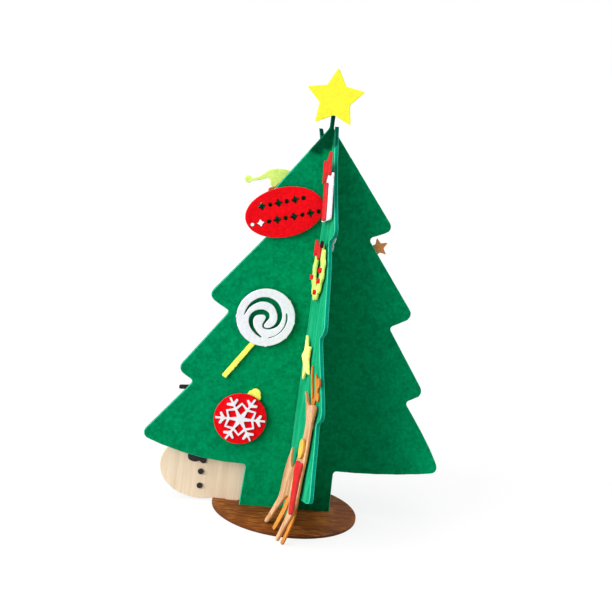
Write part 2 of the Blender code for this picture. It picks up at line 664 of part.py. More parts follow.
def build_sign(red, pad, face):
    """The oval sign with two rows of star and dot cut-outs."""
    outlines = [circle(SIGN_HALF_LENGTH, steps=2 * CIRCLE_STEPS, radius_up=SIGN_HALF_HEIGHT)]
    for row, (height, count) in enumerate(zip(SIGN_ROW_HEIGHTS, SIGN_ROW_COUNTS)):
        for i in range(count):
            centre = ((i - (count - 1) / 2.0) * SIGN_ROW_PITCH, height)
            if i % 2 == row:
                outlines.append(star(SIGN_STAR_RADIUS, SLIM_STAR_SHARE, 4, centre=centre))
            else:
                outlines.append(circle(SIGN_DOT_RADIUS, centre, SMALL_CIRCLE_STEPS // 2))
    add_plate("sign_oval", outlines, ORNAMENT_THICKNESS, red, face, SIGN_CENTRE, over_pad(), SIGN_TURN)
    between_rows = offset(SIGN_CENTRE, (0.0, sum(SIGN_ROW_HEIGHTS) / 2.0), SIGN_TURN)
    add_pad("sign_hook_pad", face, between_rows, pad, SMALL_PAD_RADIUS)


def build_lollipop(white, yellow, pad, face):
    """A swirl disc on a stick that is glued behind it."""
    radius = LOLLIPOP_RADIUS
    spine = [(x * radius, y * radius, half * radius) for x, y, half in SWIRL_SHARES]
    slit_radius = SLIT_RADIUS_SHARE * radius
    slit = []
    for degrees, half in SLIT_SHARES:
        angle = math.radians(degrees)
        slit.append((slit_radius * math.cos(angle), slit_radius * math.sin(angle), half * radius))
    outlines = [
        circle(radius, steps=2 * CIRCLE_STEPS),
        ribbon(smooth(spine, closed=False)),
        ribbon(smooth(slit, closed=False)),
    ]
    add_plate(
        "lollipop_disc", outlines, ORNAMENT_THICKNESS, white, face, LOLLIPOP_CENTRE, layer(1),
        LOLLIPOP_TURN,
    )
    half = STICK_WIDTH / 2.0
    top = STICK_OVERLAP - radius
    stick = [(-half, top - STICK_LENGTH), (half, top - STICK_LENGTH), (half, top), (-half, top)]
    place = offset(LOLLIPOP_CENTRE, (STICK_OFFSET, 0.0), STICK_TURN)
    add_plate("lollipop_stick", [stick], ORNAMENT_THICKNESS, yellow, face, place, layer(0), STICK_TURN)
    rim_place = offset(LOLLIPOP_CENTRE, ((slit_radius + radius) / 2.0, 0.0), math.radians(60.0))
    rim_pad = (radius - slit_radius) / 2.0
    add_pad("lollipop_hook_pad", face, rim_place, pad, rim_pad, ORNAMENT_THICKNESS)


def build_bauble(red, white, yellow, pad, face):
    """A round bauble with a snowflake on it and a cap glued behind it."""
    place = BAUBLE_CENTRE
    rim = circle(BAUBLE_RADIUS, steps=2 * CIRCLE_STEPS)
    add_plate("bauble_disc", [rim], ORNAMENT_THICKNESS, red, face, place, layer(1))
    outline, holes = snowflake(BAUBLE_FLAKE_RADIUS)
    overlay = [outline, *holes]
    add_plate("bauble_snowflake", overlay, ORNAMENT_THICKNESS / 2.0, white, face, place, layer(2))
    half = CAP_WIDTH / 2.0
    shoulder = BAUBLE_RADIUS + CAP_RISE
    loop = []
    for step in range(ARC_STEPS * 2 + 1):
        angle = math.pi * step / (ARC_STEPS * 2)
        loop.append((CAP_LOOP_RADIUS * math.cos(angle), shoulder + CAP_LOOP_RADIUS * math.sin(angle)))
    low = BAUBLE_RADIUS - CAP_OVERLAP
    cap = [(-half, low), (half, low), (half, shoulder), *loop, (-half, shoulder)]
    add_plate("bauble_cap", [cap], ORNAMENT_THICKNESS, yellow, face, place, layer(0), CAP_TURN)
    add_pad("bauble_hook_pad", face, place, pad, thickness=ORNAMENT_THICKNESS)


def bow_outline(half_width, half_height):
    """A bow with two loops."""
    right = scaled(BOW_SHARES, half_width, half_height)
    left = [(-x, y) for x, y in reversed(right)]
    return smooth(right + left)


def build_gift(white, red, pad, side):
    """A parcel with a ribbon down its middle and a bow on top."""
    half, tall = GIFT_WIDTH / 2.0, GIFT_HEIGHT / 2.0
    corners = [(-half, -tall), (half, -tall), (half, tall), (-half, tall)]
    box = rounded([(*corner, GIFT_CORNER_RADIUS) for corner in corners])
    place, turn = GIFT_CENTRE, GIFT_TURN
    add_plate("gift_box", [box], ORNAMENT_THICKNESS, white, side, place, over_pad(), turn)
    band = GIFT_RIBBON_WIDTH / 2.0
    strip_top = tall - GIFT_BOW_DROP_SHARE * GIFT_BOW_HALF_HEIGHT
    strip = [(-band, -tall), (band, -tall), (band, strip_top), (-band, strip_top)]
    upper = over_pad() + ORNAMENT_THICKNESS + FIT_GAP
    add_plate("gift_ribbon", [strip], ORNAMENT_THICKNESS, red, side, place, upper, turn)
    bow = bow_outline(GIFT_BOW_HALF_WIDTH, GIFT_BOW_HALF_HEIGHT)
    bow_place = offset(place, (0.0, tall + GIFT_BOW_HALF_HEIGHT / 2.0), turn)
    add_plate("gift_bow", [bow], ORNAMENT_THICKNESS, red, side, bow_place, upper, GIFT_BOW_TURN)
    add_pad("gift_hook_pad", side, place, pad)


def build_wreath(lime, red, black, pad, side):
    """A leafy ring with berries and a bow."""
    place = WREATH_CENTRE
    rim = wavy_circle(WREATH_RADIUS, WREATH_LEAVES, WREATH_LEAF_SHARE)
    hole = circle(WREATH_HOLE_RADIUS)
    add_plate("wreath_ring", [rim, hole], ORNAMENT_THICKNESS, lime, side, place, over_pad())
    upper = over_pad() + ORNAMENT_THICKNESS + FIT_GAP
    middle = (WREATH_RADIUS + WREATH_HOLE_RADIUS) / 2.0
    for i, degrees in enumerate(BERRY_DEGREES):
        centre = turned((middle, 0.0), math.radians(degrees))
        berry = circle(BERRY_RADIUS, centre, SMALL_CIRCLE_STEPS)
        add_plate(f"wreath_berry_{i + 1}", [berry], ORNAMENT_THICKNESS, red, side, place, upper)
    bow = bow_outline(WREATH_BOW_HALF_WIDTH, WREATH_BOW_HALF_HEIGHT)
    bow_place = offset(place, WREATH_BOW_PLACE)
    add_plate("wreath_bow", [bow], ORNAMENT_THICKNESS, red, side, bow_place, upper)
    knot = circle(WREATH_KNOT_RADIUS, steps=SMALL_CIRCLE_STEPS)
    knot_place = offset(place, WREATH_KNOT_PLACE)
    add_plate("wreath_knot", [knot], ORNAMENT_THICKNESS, black, side, knot_place, upper)
    pad_radius = (WREATH_RADIUS - WREATH_HOLE_RADIUS) / 2.0 - FIT_GAP
    add_pad("wreath_hook_pad", side, offset(place, (0.0, -middle)), pad, pad_radius)


def build_yellow_star(yellow, pad, side):
    """A plain five-pointed star."""
    outline = star(YELLOW_STAR_RADIUS, FAT_STAR_SHARE)
    add_plate(
        "yellow_star", [outline], ORNAMENT_THICKNESS, yellow, side, YELLOW_STAR_CENTRE, over_pad(),
        YELLOW_STAR_TURN,
    )
    add_pad("yellow_star_hook_pad", side, YELLOW_STAR_CENTRE, pad)


def reindeer_lift(along, height):
    """How far the reindeer stands to the left: its rear swings out and its legs spread.

    Its upper part follows the wing's wave.
    """
    rear = max(0.0, 1.0 - along / REINDEER_LENGTH)
    below = min(max(0.0, REINDEER_LIFT_TOP - height) / REINDEER_LIFT_HEIGHT, 1.0)
    spread = REINDEER_LEG_SPREAD * (1.0 - REINDEER_FORE_SPREAD_LOSS_SHARE * along / REINDEER_LENGTH)
    spread *= max(0.0, 1.0 - height / REINDEER_LEG_TOP) ** 1.5
    wave = wing_wave(REINDEER_START + along, FIT_GAP + height)
    return (0.0, REINDEER_REAR_LIFT * rear * below + spread - wave)


def build_reindeer(tan, orange, red, pad, side):
    """A reindeer of three layers: antlers and far legs, then the body, then scarf and bell."""
    rows = math.ceil(REINDEER_HEIGHT / REINDEER_CUT_PITCH)
    cuts = [((0.0, i * REINDEER_CUT_PITCH), (0.0, 1.0)) for i in range(1, rows + 1)]
    place = (REINDEER_START, FIT_GAP)
    back = FIT_GAP
    middle = back + REINDEER_BACK_THICKNESS + FIT_GAP
    front = middle + ORNAMENT_THICKNESS + FIT_GAP

    def add(name, outline, material, depth):
        thickness = REINDEER_BACK_THICKNESS if depth == back else ORNAMENT_THICKNESS
        shaping = {"cuts": cuts, "bend": reindeer_lift}
        add_plate(name, [outline], thickness, material, side, place, depth, **shaping)

    def sized(shares):
        return scaled(shares, REINDEER_LENGTH, REINDEER_HEIGHT)

    def ground(x):
        return BASE_THICKNESS if REINDEER_START + x < BASE_RADIUS else 0.0

    def drawn(shares):
        return [(x, max(y, ground(x))) for x, y in smooth(sized(shares))]

    def spot(shares, radius):
        return circle(radius, sized([shares])[0], SMALL_CIRCLE_STEPS)

    add("reindeer_body", drawn(REINDEER_BODY_SHARES), tan, middle)
    add("reindeer_antlers", drawn(REINDEER_ANTLER_SHARES), orange, back)
    add("reindeer_far_hind_leg", drawn(REINDEER_FAR_HIND_LEG_SHARES), orange, back)
    add("reindeer_far_fore_leg", drawn(REINDEER_FAR_FORE_LEG_SHARES), orange, back)
    add("reindeer_scarf", drawn(REINDEER_SCARF_SHARES), red, front)
    add("reindeer_bell", spot(REINDEER_BELL_SHARES, REINDEER_BELL_RADIUS), orange, front)
    add("reindeer_hook_pad", spot(REINDEER_PAD_SHARES, PAD_RADIUS), pad, back)


def build_flake(white, pad, far_side):
    """A white snowflake."""
    outline, holes = snowflake(FLAKE_RADIUS)
    add_plate(
        "snowflake", [outline, *holes], FLAKE_THICKNESS, white, far_side, FLAKE_CENTRE, over_pad()
    )
    add_pad("snowflake_hook_pad", far_side, FLAKE_CENTRE, pad, SMALL_PAD_RADIUS)


def build_elf(skin, brown, lime, pad, rear):
    """An elf's head: hair, face, nose, a floppy hat and its pompom."""
    radius, place = ELF_HEAD_RADIUS, ELF_CENTRE
    hair_width, hair_height = (share * radius for share in ELF_HAIR_SHARES)
    hair = wavy_circle(hair_width, ELF_HAIR_LOCKS, ELF_LOCK_SHARE, hair_height)
    first = over_pad()
    step = ORNAMENT_THICKNESS + FIT_GAP
    add_plate("elf_hair", [hair], ORNAMENT_THICKNESS, brown, rear, place, first)
    add_plate("elf_face", [circle(radius)], ORNAMENT_THICKNESS, skin, rear, place, first + step)
    nose = circle(ELF_NOSE_RADIUS, steps=SMALL_CIRCLE_STEPS)
    add_plate("elf_nose", [nose], ORNAMENT_THICKNESS, skin, rear, place, first + 2.0 * step)
    hat = smooth(scaled(ELF_HAT_SHARES, radius, radius))
    add_plate("elf_hat", [hat], ORNAMENT_THICKNESS, lime, rear, place, first + 2.0 * step)
    pompom_centre = scaled([ELF_POMPOM_SHARES], radius, radius)[0]
    pompom = circle(ELF_POMPOM_RADIUS, pompom_centre, SMALL_CIRCLE_STEPS)
    add_plate("elf_pompom", [pompom], ORNAMENT_THICKNESS, lime, rear, place, first + 3.0 * step)
    add_pad("elf_hook_pad", rear, place, pad)


def build_brown_star(brown, rear):
    """A small star glued to the edge of the second tier."""
    outline = star(BROWN_STAR_RADIUS, SLIM_STAR_SHARE)
    add_plate(
        "brown_star", [outline], ORNAMENT_THICKNESS, brown, rear, BROWN_STAR_CENTRE, FIT_GAP,
        BROWN_STAR_TURN,
    )


def snowman_outline():
    """Body and head as one outline, with a straight foot on the base and the tab under it."""
    body = circle(SNOWMAN_BODY_RADII[0], SNOWMAN_BODY_CENTRE, 2 * CIRCLE_STEPS, SNOWMAN_BODY_RADII[1])
    head = circle(SNOWMAN_HEAD_RADIUS, SNOWMAN_HEAD_CENTRE, 2 * CIRCLE_STEPS)
    quarter = CIRCLE_STEPS // 2
    body = body[quarter:] + body[:quarter]
    head = head[-quarter:] + head[:-quarter]

    def in_body(point):
        across = (point[0] - SNOWMAN_BODY_CENTRE[0]) / SNOWMAN_BODY_RADII[0]
        up = (point[1] - SNOWMAN_BODY_CENTRE[1]) / SNOWMAN_BODY_RADII[1]
        return across**2 + up**2 < 1.0

    def in_head(point):
        return math.dist(point, SNOWMAN_HEAD_CENTRE) < SNOWMAN_HEAD_RADIUS

    tab_half = SNOWMAN_TAB_WIDTH / 2.0
    tab_left, tab_right = SNOWMAN_TAB_CENTRE - tab_half, SNOWMAN_TAB_CENTRE + tab_half
    ledge = BASE_THICKNESS + FIT_GAP
    foot = [
        (SNOWMAN_FOOT_LEFT, ledge), (tab_left, ledge), (tab_left, FIT_GAP), (tab_right, FIT_GAP),
        (tab_right, ledge), (SNOWMAN_BODY_CENTRE[0] + SNOWMAN_BODY_RADII[0], ledge),
    ]
    outline, foot_done = [], False
    for point in body:
        if point[1] < SNOWMAN_BODY_CENTRE[1] and point[0] > SNOWMAN_FOOT_LEFT:
            if not foot_done:
                outline += foot
                foot_done = True
        elif not in_head(point):
            outline.append(point)
    return outline + [point for point in head if not in_body(point)]


def build_snowman(wood, black, orange, upright):
    """The wooden snowman with its black hat, scarf, eyes and buttons and its carrot nose."""
    thickness = SNOWMAN_THICKNESS
    add_plate("snowman_plate", [snowman_outline()], thickness, wood, upright, depth=-thickness)

    def trim(name, outline, material, place=(0.0, 0.0), turn=0.0):
        add_plate(name, [outline], SNOWMAN_TRIM_THICKNESS, material, upright, place, FIT_GAP, turn)

    brim, crown, low = SNOWMAN_BRIM_HALF_WIDTH, SNOWMAN_CROWN_HALF_WIDTH, SNOWMAN_BRIM_RISE
    ledge, corner = low - SNOWMAN_BRIM_THICKNESS, SNOWMAN_BRIM_THICKNESS / 3.0
    top = low + SNOWMAN_CROWN_HEIGHT
    half_hat = [
        (brim, ledge, corner), (brim, low, corner), (crown, low, 0.0), (crown, top, corner),
    ]
    hat = rounded(half_hat + [(-x, *rest) for x, *rest in reversed(half_hat)])
    radius, head = SNOWMAN_HEAD_RADIUS, SNOWMAN_HEAD_CENTRE
    trim("snowman_hat", hat, black, head, SNOWMAN_LEAN)
    scarf = smooth(scaled(SNOWMAN_SCARF_SHARES, radius, radius))
    trim("snowman_scarf", scarf, black, head, SNOWMAN_LEAN)
    for i, centre in enumerate(SNOWMAN_BUTTON_CENTRES):
        button = circle(SNOWMAN_BUTTON_RADIUS, steps=SMALL_CIRCLE_STEPS)
        trim(f"snowman_button_{i + 1}", button, black, centre)
    for name, across in (("left", -SNOWMAN_EYE_SPACING / 2.0), ("right", SNOWMAN_EYE_SPACING / 2.0)):
        eye = circle(SNOWMAN_EYE_RADIUS, (across, radius / 4.0), SMALL_CIRCLE_STEPS)
        trim(f"snowman_eye_{name}", eye, black, head, SNOWMAN_LEAN)
    thick, length = SNOWMAN_NOSE_RADIUS, SNOWMAN_NOSE_LENGTH
    nose = [(0.0, -2.0 * thick), (length, -thick), (0.0, 0.0), (-thick, -thick)]
    trim("snowman_nose", nose, orange, head, SNOWMAN_LEAN)


def build():
    """The whole tree."""
    for item in list(bpy.data.objects):
        bpy.data.objects.remove(item)
    green = felt("green_felt", 0, 150, 85)
    yellow = felt("yellow_felt", 253, 245, 60)
    red = felt("red_felt", 235, 22, 28)
    white = felt("white_felt", 240, 240, 246)
    lime = felt("lime_felt", 200, 232, 90)
    tan = felt("tan_felt", 230, 178, 128)
    orange = felt("orange_felt", 226, 142, 56)
    brown = felt("brown_felt", 176, 100, 52)
    skin = felt("skin_felt", 244, 206, 176)
    black = felt("black_felt", 30, 26, 28)
    pad = felt("hook_pad", 225, 225, 222, 0.6)
    wood = felt("pale_wood", 238, 215, 180, 0.55)
    base_wood = felt("brown_wood", 122, 66, 26, 0.45)

    front, left = Vector((0.0, -1.0, 0.0)), Vector((-1.0, 0.0, 0.0))
    face = add_holder("main_front_face", -left, front)
    rear = add_holder("main_rear_face", left, -front)
    side = add_holder("cross_left_face", front, left)
    far_side = add_holder("cross_right_face", -front, -left)
    upright = add_holder("snowman_front_face", -left, front)
    upright.location = (0.0, SNOWMAN_DEPTH - SNOWMAN_THICKNESS / 2.0, 0.0)

    build_base(base_wood)
    build_panels(green, face, side)
    build_star(yellow, face)
    build_sign(red, pad, face)
    build_lollipop(white, yellow, pad, face)
    build_bauble(red, white, yellow, pad, face)
    build_gift(white, red, pad, side)
    build_wreath(lime, red, black, pad, side)
    build_yellow_star(yellow, pad, side)
    build_reindeer(tan, orange, red, pad, side)
    build_flake(white, pad, far_side)
    build_elf(skin, brown, lime, pad, rear)
    build_brown_star(brown, rear)
    build_snowman(wood, black, orange, upright)


build()
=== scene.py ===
"""Looks of the felt Christmas tree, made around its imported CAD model.

Each flat CAD piece is drawn again as a finished sheet: its outline gets the small irregularities of cut
felt or wood, its rim is rounded, and its faces get an even mesh that follows the CAD piece's bends.
"""

import json
import math
import random

import bmesh
import bpy
import numpy as np
from mathutils import Matrix, Quaternion, Vector, noise
from mathutils.bvhtree import BVHTree
from mathutils.geometry import barycentric_transform, delaunay_2d_cdt


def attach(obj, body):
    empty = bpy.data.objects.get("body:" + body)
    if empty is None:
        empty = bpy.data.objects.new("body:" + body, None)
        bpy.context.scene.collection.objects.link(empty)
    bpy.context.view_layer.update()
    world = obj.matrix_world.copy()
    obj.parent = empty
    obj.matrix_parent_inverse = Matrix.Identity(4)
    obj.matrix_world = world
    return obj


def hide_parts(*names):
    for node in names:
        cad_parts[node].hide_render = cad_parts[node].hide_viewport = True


MM = 0.001

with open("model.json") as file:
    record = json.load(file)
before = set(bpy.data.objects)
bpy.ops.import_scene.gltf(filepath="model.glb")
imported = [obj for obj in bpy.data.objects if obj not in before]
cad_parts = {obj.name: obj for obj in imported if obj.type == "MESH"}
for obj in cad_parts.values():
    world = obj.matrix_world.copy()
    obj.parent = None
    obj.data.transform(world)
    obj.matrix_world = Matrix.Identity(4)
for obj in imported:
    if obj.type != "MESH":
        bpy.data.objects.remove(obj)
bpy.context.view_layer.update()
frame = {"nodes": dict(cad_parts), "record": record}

# Camera, fitted to the photograph: the tree's axis leans in the picture, so the camera is rolled
IMAGE_SIZE = 612
CAMERA_TARGET = Vector((0.0, 0.0, 149.4 * MM))
CAMERA_AZIMUTH = math.radians(-8.96)
CAMERA_ELEVATION = math.radians(13.16)
CAMERA_ROLL = math.radians(7.88)
CAMERA_DISTANCE = 996.4 * MM
CAMERA_DISTANCE_PX = 1284.0
CAMERA_OFFSET_PX = (2.6, 24.0)
SENSOR_WIDTH_MM = 36.0

# Sheets: spacing of points along an outline and inside it, and the rim's radius, in shares of thickness
OUTLINE_STEP = 0.7 * MM
PANEL_STEP = 1.1 * MM
FINE_STEP = 0.4 * MM
FACE_STEP = 3.0 * MM
PANEL_FACE_STEP = 4.5 * MM
RIM_SHARE = 0.17
WOOD_RIM_SHARE = 0.07
FACE_RING_SHARE = 2.4
RIM_ANGLES = [math.radians(a) for a in (0.0, 30.0, 60.0, 90.0)]
TIGHT_SHARE = 0.8

# Cut edges: height of their waves and fine tufts, and the nubs that a blade leaves
WAVE_HEIGHT = 0.07 * MM
WAVE_PITCH = 2.6 * MM
TUFT_HEIGHT = 0.07 * MM
TUFT_PITCH = 0.7 * MM
SWELL_HEIGHT = 0.6 * TUFT_HEIGHT
NUB_HEIGHT = 0.5 * MM
NUB_WIDTH = 0.7 * MM

# Directions of a sheet: right along it, up along it, and out of its front face
FACING_FRONT = (Vector((1.0, 0.0, 0.0)), Vector((0.0, 0.0, 1.0)), Vector((0.0, -1.0, 0.0)))
FACING_LEFT = (Vector((0.0, -1.0, 0.0)), Vector((0.0, 0.0, 1.0)), Vector((-1.0, 0.0, 0.0)))
FACING_UP = (Vector((1.0, 0.0, 0.0)), Vector((0.0, 1.0, 0.0)), Vector((0.0, 0.0, 1.0)))

# Reading and making meshes: points closer than these are one, and a face whose normal is this far along the
# sheet's outward direction belongs to its front
CAD_MERGE_DISTANCE = 0.001 * MM
MERGE_DISTANCE = 0.0005 * MM
FILL_TOLERANCE = 1e-7
FRONT_FACING = 0.3

# Points inside a face: height of a row and random shift, in steps, and how clear they stay of the outline
ROW_SHARE = 0.87
ROW_JITTER = 0.12
OUTLINE_CLEARANCE = 0.45


class Sheet:
    """A flat CAD piece, read in the directions of its sheet."""

    def __init__(self, node, directions):
        self.right, self.up, self.out = directions
        data = bmesh.new()
        data.from_mesh(frame["nodes"][node].data)
        bmesh.ops.remove_doubles(data, verts=data.verts[:], dist=CAD_MERGE_DISTANCE)
        bmesh.ops.triangulate(data, faces=data.faces[:])
        data.verts.ensure_lookup_table()
        self.points = [v.co.copy() for v in data.verts]
        facing = [(f.normal.dot(self.out), [v.index for v in f.verts]) for f in data.faces]
        front = [corners for turned, corners in facing if turned > FRONT_FACING]
        back = [corners for turned, corners in facing if turned < -FRONT_FACING]
        data.free()
        self.sides = [self.side(front), self.side(back)]
        self.outlines = self.boundary(front)
        self.thickness = self.depth(0, *self.outlines[0][0]) - self.depth(1, *self.outlines[0][0])

    def flat(self, point):
        """A point's place in the sheet."""
        return (point.dot(self.right), point.dot(self.up))

    def side(self, faces):
        """The faces of one side, and the same faces laid flat."""
        flat = [Vector((*self.flat(point), 0.0)) for point in self.points]
        return (faces, flat, BVHTree.FromPolygons(flat, faces))

    def depth(self, side, across, up):
        """How far out the CAD piece's front (0) or back (1) lies at a place in the sheet."""
        faces, flat, tree = self.sides[side]
        spot, _, index, _ = tree.find_nearest(Vector((across, up, 0.0)))
        corners = [flat[i] for i in faces[index]]
        solid = [self.points[i] for i in faces[index]]
        return barycentric_transform(spot, *corners, *solid).dot(self.out)

    def boundary(self, faces):
        """The outlines of the front, each in the order that keeps the material on the left."""
        edges = {(a, b) for face in faces for a, b in zip(face, face[1:] + face[:1])}
        following = {a: b for a, b in edges if (b, a) not in edges}
        outlines = []
        while following:
            start = min(following)
            loop = [start]
            step = following.pop(start)
            while step != start:
                loop.append(step)
                step = following.pop(step)
            outlines.append(np.array([self.flat(self.points[i]) for i in loop]))
        return sorted(outlines, key=lambda loop: -np.ptp(loop, axis=0).max())

    def solid(self, across, up, out):
        """A place in the sheet and its depth, as a point in space."""
        return self.right * across + self.up * up + self.out * out


def resampled(loop, step):
    """A loop with points no further apart than step."""
    points = []
    for start, end in zip(loop, np.roll(loop, -1, axis=0)):
        count = max(1, round(float(np.linalg.norm(end - start)) / step))
        points += [start + (end - start) * i / count for i in range(count)]
    return np.array(points)


def softened(loop, rounds):
    """A loop with its corners eased."""
    for _ in range(rounds):
        loop = 0.5 * loop + 0.25 * (np.roll(loop, 1, axis=0) + np.roll(loop, -1, axis=0))
    return loop


def outward(loop):
    """The direction out of the material at each point of a loop."""
    along = np.roll(loop, -1, axis=0) - np.roll(loop, 1, axis=0)
    along /= np.maximum(np.linalg.norm(along, axis=1, keepdims=True), 1e-12)
    return np.stack([along[:, 1], -along[:, 0]], axis=1)


def frayed(loop, seed, wave, tuft, nubs):
    """A loop with the small waves, tufts and nubs of a cut edge."""
    normals = outward(loop)
    shift = Vector((seed * 7.13, seed * 3.71, 0.0))
    draw = random.Random(seed)
    marks = [loop[draw.randrange(len(loop))] for _ in range(nubs)]
    moved = loop.copy()
    for i, point in enumerate(loop):
        place = Vector((*point, 0.0))
        rise = wave * noise.noise(place / WAVE_PITCH + shift)
        rise += tuft * noise.noise(place / TUFT_PITCH + shift)
        for mark in marks:
            distance = float(np.linalg.norm(point - mark)) / NUB_WIDTH
            rise += NUB_HEIGHT * math.exp(-(distance**2))
        moved[i] = point + normals[i] * rise
    return moved


def room(loops, limit):
    """For each point of the loops, the radius of the ball that fits inside the material there."""
    points = np.concatenate(loops)
    inward = -np.concatenate([outward(loop) for loop in loops])
    radii = np.full(len(points), limit)
    for i, (point, direction) in enumerate(zip(points, inward)):
        away = points - point
        ahead = away @ direction
        near = ahead > 1e-9
        if near.any():
            radii[i] = min(limit, float(((away[near] ** 2).sum(1) / (2.0 * ahead[near])).min()))
    result = []
    start = 0
    for loop in loops:
        part = radii[start:start + len(loop)]
        part = np.minimum(part, np.minimum(np.roll(part, 1), np.roll(part, -1)))
        result.append(0.5 * part + 0.25 * (np.roll(part, 1) + np.roll(part, -1)))
        start += len(loop)
    return result


def inside(places, loops):
    """Which of the places lie in the material."""
    held = np.zeros(len(places), bool)
    for loop in loops:
        for (x0, y0), (x1, y1) in zip(loop, np.roll(loop, -1, axis=0)):
            if y0 == y1:
                continue
            spans = (places[:, 1] > min(y0, y1)) & (places[:, 1] <= max(y0, y1))
            crossing = x0 + (places[:, 1] - y0) / (y1 - y0) * (x1 - x0)
            held ^= spans & (places[:, 0] < crossing)
    return held


def face_points(loops, step, seed):
    """Evenly spread places in the material, away from its loops."""
    low, high = loops[0].min(0), loops[0].max(0)
    draw = random.Random(seed)
    places = []
    rows = int((high[1] - low[1]) / (step * ROW_SHARE)) + 1
    columns = int((high[0] - low[0]) / step) + 2
    for row in range(rows):
        for column in range(columns):
            across = low[0] + (column - 0.5 * (row % 2) + draw.uniform(-ROW_JITTER, ROW_JITTER)) * step
            up = low[1] + (row * ROW_SHARE + draw.uniform(-ROW_JITTER, ROW_JITTER)) * step
            places.append((across, up))
    places = np.array(places)
    places = places[inside(places, loops)]
    edge = np.concatenate(loops)
    limit = (OUTLINE_CLEARANCE * step) ** 2
    clear = [float(((edge - place) ** 2).sum(1).min()) > limit for place in places]
    return places[np.array(clear, bool)] if len(places) else places


def finished_sheet(node, facing, wood=False, panel=False, fine=False, nubs=0):
    """A new piece in place of a flat CAD node."""
    sheet = Sheet(node, facing)
    seed = sum(ord(letter) for letter in node)
    step = PANEL_STEP if panel else FINE_STEP if fine else OUTLINE_STEP
    radius = sheet.thickness * (WOOD_RIM_SHARE if wood else RIM_SHARE)
    tuft = 0.0 if wood else TUFT_HEIGHT
    loops = []
    for index, loop in enumerate(sheet.outlines):
        loop = softened(resampled(loop, step), 2)
        loops.append(frayed(loop, seed + index, WAVE_HEIGHT, tuft, nubs if index == 0 else 0))
    ring = FACE_RING_SHARE * radius
    shares = [np.minimum(1.0, TIGHT_SHARE * part / ring) for part in room(loops, 2.0 * ring)]
    normals = [outward(loop) for loop in loops]

    rows = [(ring, 0.0)]
    rows += [(radius * (1.0 - math.sin(a)), radius * (1.0 - math.cos(a))) for a in RIM_ANGLES]
    verts = []
    edge_values = []
    start_of = {}

    def add(across, up, side, below, edge):
        depth = sheet.depth(side, across, up)
        verts.append(sheet.solid(across, up, depth + (below if side else -below)))
        edge_values.append(edge)

    for side in (0, 1):
        for row, (inset, below) in enumerate(rows):
            for index, loop in enumerate(loops):
                start_of[side, row, index] = len(verts)
                for point, normal, share in zip(loop, normals[index], shares[index]):
                    place = point - normal * inset * share
                    add(*place, side, below * share, max(0.0, row - 1.0) / (len(rows) - 2.0))

    rings = [loop - normal * (ring * share)[:, None] for loop, normal, share in zip(loops, normals, shares)]
    filling = face_points(rings, PANEL_FACE_STEP if panel else FACE_STEP, seed)
    places = [Vector(p) for p in np.concatenate(rings)] + [Vector(p) for p in filling]
    edges = []
    count = 0
    for loop in rings:
        edges += [(count + i, count + (i + 1) % len(loop)) for i in range(len(loop))]
        count += len(loop)
    flat, _, triangles, origins, _, _ = delaunay_2d_cdt(places, edges, [], 2, FILL_TOLERANCE)
    origin_point = Vector((0.0, 0.0))
    centres = np.array([sum((flat[i] for i in corners), origin_point) / 3.0 for corners in triangles])
    triangles = [triangle for triangle, held in zip(triangles, inside(centres, rings)) if held]
    faces = []
    for side in (0, 1):
        lookup = []
        for place, origin in zip(flat, origins):
            if origin and origin[0] < count:
                lookup.append(start_of[side, 0, 0] + origin[0])
            else:
                lookup.append(len(verts))
                add(place.x, place.y, side, 0.0, 0.0)
        faces += [[lookup[i] for i in triangle] for triangle in triangles]
        for row in range(len(rows) - 1):
            for index, loop in enumerate(loops):
                size = len(loop)
                upper, lower = start_of[side, row, index], start_of[side, row + 1, index]
                for i in range(size):
                    j = (i + 1) % size
                    faces.append([upper + i, upper + j, lower + j, lower + i])
    last = len(rows) - 1
    for index, loop in enumerate(loops):
        upper, lower = start_of[0, last, index], start_of[1, last, index]
        middle = len(verts)
        for i, (point, normal) in enumerate(zip(loop, normals[index])):
            swell = 0.0 if wood else SWELL_HEIGHT * noise.noise(Vector((*point, 1.0)) / TUFT_PITCH)
            place = point + normal * swell
            depth = 0.5 * (sheet.depth(0, *point) + sheet.depth(1, *point))
            verts.append(sheet.solid(*place, depth))
            edge_values.append(1.0)
        size = len(loop)
        for i in range(size):
            j = (i + 1) % size
            faces.append([upper + i, upper + j, middle + j, middle + i])
            faces.append([middle + i, middle + j, lower + j, lower + i])

    mesh = bpy.data.meshes.new(node + "_sheet")
    mesh.from_pydata([(x, y, max(z, 0.0)) for x, y, z in verts], [], faces)
    attribute = mesh.attributes.new("edge", "FLOAT", "POINT")
    attribute.data.foreach_set("value", edge_values)
    mark_places(mesh, sheet, loops[1:], panel)
    tidy = bmesh.new()
    tidy.from_mesh(mesh)
    bmesh.ops.remove_doubles(tidy, verts=tidy.verts[:], dist=MERGE_DISTANCE)
    bmesh.ops.recalc_face_normals(tidy, faces=tidy.faces[:])
    tidy.to_mesh(mesh)
    tidy.free()
    mesh.shade_smooth()
    piece = bpy.data.objects.new(node + "_sheet", mesh)
    bpy.context.scene.collection.objects.link(piece)
    return piece


# Painted shadow below the star: the felt is drawn dark at the peak, down to this height, on the side of the
# left wing and the front wing
PEAK_SHADOW_HEIGHT = 284.3 * MM
PEAK_SHADOW_MIDDLE = -13.0 * MM
PEAK_SHADOW_REACH = 22.0 * MM
PEAK_SHADOW_EDGE = 1.2 * MM
PEAK_SHADOW_WAVES = ((9.0 * MM, 2.5 * MM), (2.0 * MM, 1.6 * MM))
PEAK_SHADOW_SIDE_START = 1.6 * MM
PEAK_SHADOW_SIDE_EDGE = 0.8 * MM
PEAK_SHADOW_DARKNESS = 0.72
# Laser scorch around cut-outs, together with painted shade in the cut-outs: its reach and colour
SCORCH_AND_SHADE_REACH = 0.35 * MM
SCORCH_AND_SHADE_COLOR_VALUES = (22, 10, 8)
FAR_AWAY = 1e3


